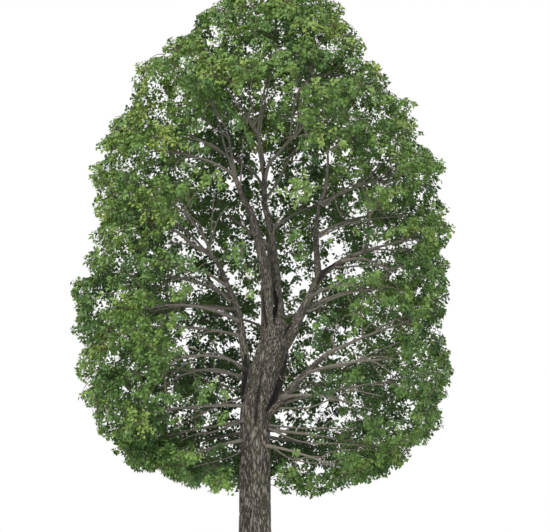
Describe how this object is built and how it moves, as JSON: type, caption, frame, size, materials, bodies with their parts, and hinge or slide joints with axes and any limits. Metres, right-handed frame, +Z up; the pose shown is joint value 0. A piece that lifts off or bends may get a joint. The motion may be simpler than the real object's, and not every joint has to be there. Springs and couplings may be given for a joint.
{
  "type": "poplar tree",
  "caption": "Mature open-grown poplar tree in summer leaf, with a stout trunk, forking boughs and a broad egg-shaped crown.",
  "frame": {"origin": "middle of the flat cut under the trunk, at ground level", "axes": "+Z up, +X to the right as the picture shows the tree, +Y away from the viewer"},
  "size_m": [12.7672, 11.6727, 20.8383],
  "materials": {
    "bark": "furrowed grey-brown bark",
    "foliage": "green summer leaves"
  },
  "bodies": {
    "root": {"trunk": "bark", "bough_left": "bark", "bough_right": "bark", "bough_back": "bark", "leader_left": "bark", "leader_middle": "bark", "leader_right": "bark", "fork_right_upper": "bark", "fork_right_outer": "bark", "fork_top_left": "bark", "fork_top_right": "bark", "foliage_low_left_front": "foliage", "foliage_low_left": "foliage", "foliage_low_right_front": "foliage", "foliage_low_right": "foliage", "foliage_low_back_right": "foliage", "foliage_low_back": "foliage", "foliage_low_back_left": "foliage", "foliage_lower_left_front": "foliage", "foliage_side_left_back": "foliage", "foliage_side_left_front": "foliage", "foliage_back_left": "foliage", "foliage_back_middle": "foliage", "foliage_back_right": "foliage", "foliage_side_right": "foliage", "foliage_side_right_front": "foliage", "foliage_front_right": "foliage", "foliage_middle_left": "foliage", "foliage_middle_left_front": "foliage", "foliage_middle_left_back": "foliage", "foliage_back_left_middle": "foliage", "foliage_middle_right": "foliage", "foliage_bough_right_tip": "foliage", "foliage_bough_back_tip": "foliage", "foliage_middle_back_right": "foliage", "foliage_middle_back_left": "foliage", "foliage_front_left_middle": "foliage", "foliage_front_right_middle": "foliage", "foliage_right_front_upper": "foliage", "foliage_fork_right_tip": "foliage", "foliage_right_back_upper": "foliage", "foliage_right_upper": "foliage", "foliage_fork_upper_tip": "foliage", "foliage_front_right_upper": "foliage", "foliage_back_right_upper": "foliage", "foliage_back_left_upper": "foliage", "foliage_bough_left_tip": "foliage", "foliage_left_back_upper": "foliage", "foliage_left_front_upper": "foliage", "foliage_high_left_front": "foliage", "foliage_high_left_back": "foliage", "foliage_leader_left_tip": "foliage", "foliage_high_back_left": "foliage", "foliage_high_back_right": "foliage", "foliage_fork_top_right_tip": "foliage", "foliage_high_front_right": "foliage", "foliage_fork_top_left_tip": "foliage", "foliage_top_right": "foliage", "foliage_top": "foliage"}
  },
  "joints": []
}
